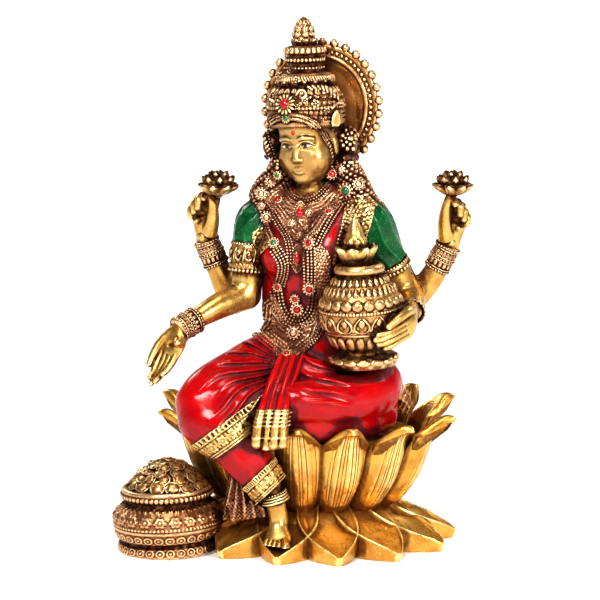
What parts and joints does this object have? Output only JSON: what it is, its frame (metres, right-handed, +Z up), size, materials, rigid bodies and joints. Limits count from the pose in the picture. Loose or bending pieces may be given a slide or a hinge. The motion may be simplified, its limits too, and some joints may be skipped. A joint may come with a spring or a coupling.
{
  "type": "lakshmi figure",
  "caption": "Painted cast idol of a four-armed goddess seated on a lotus, one foot down, with a halo, a pot under one hand and a treasure pot beside her; stands on its flat underside.",
  "frame": {"origin": "middle of the flat underside of the lotus base", "axes": "+Z up, -Y the front, +X towards her left hand"},
  "size_m": [0.1884, 0.1492, 0.296],
  "materials": {
    "gilt": "antique gold paint on cast resin, brown wash left in the recesses, satin",
    "lotus_gilt": "antique gold paint with an orange-brown wash in the grooves, satin",
    "skin_gilt": "smooth pale gold paint, satin to glossy",
    "jewel_gilt": "rose gold dry-brushed over a dark red-brown wash",
    "red_enamel": "glossy red enamel paint, darker in the folds",
    "green_enamel": "glossy green enamel paint with gold flecks",
    "red_stone": "moulded and painted cabochon, clear gloss",
    "green_stone": "moulded and painted cabochon, clear gloss",
    "halo_copper": "dark brown copper paint, rubbed back",
    "eye_paint": "hand-painted eyes and brows"
  },
  "bodies": {
    "root": {"lakshmi_statue": "gilt"}
  },
  "joints": []
}
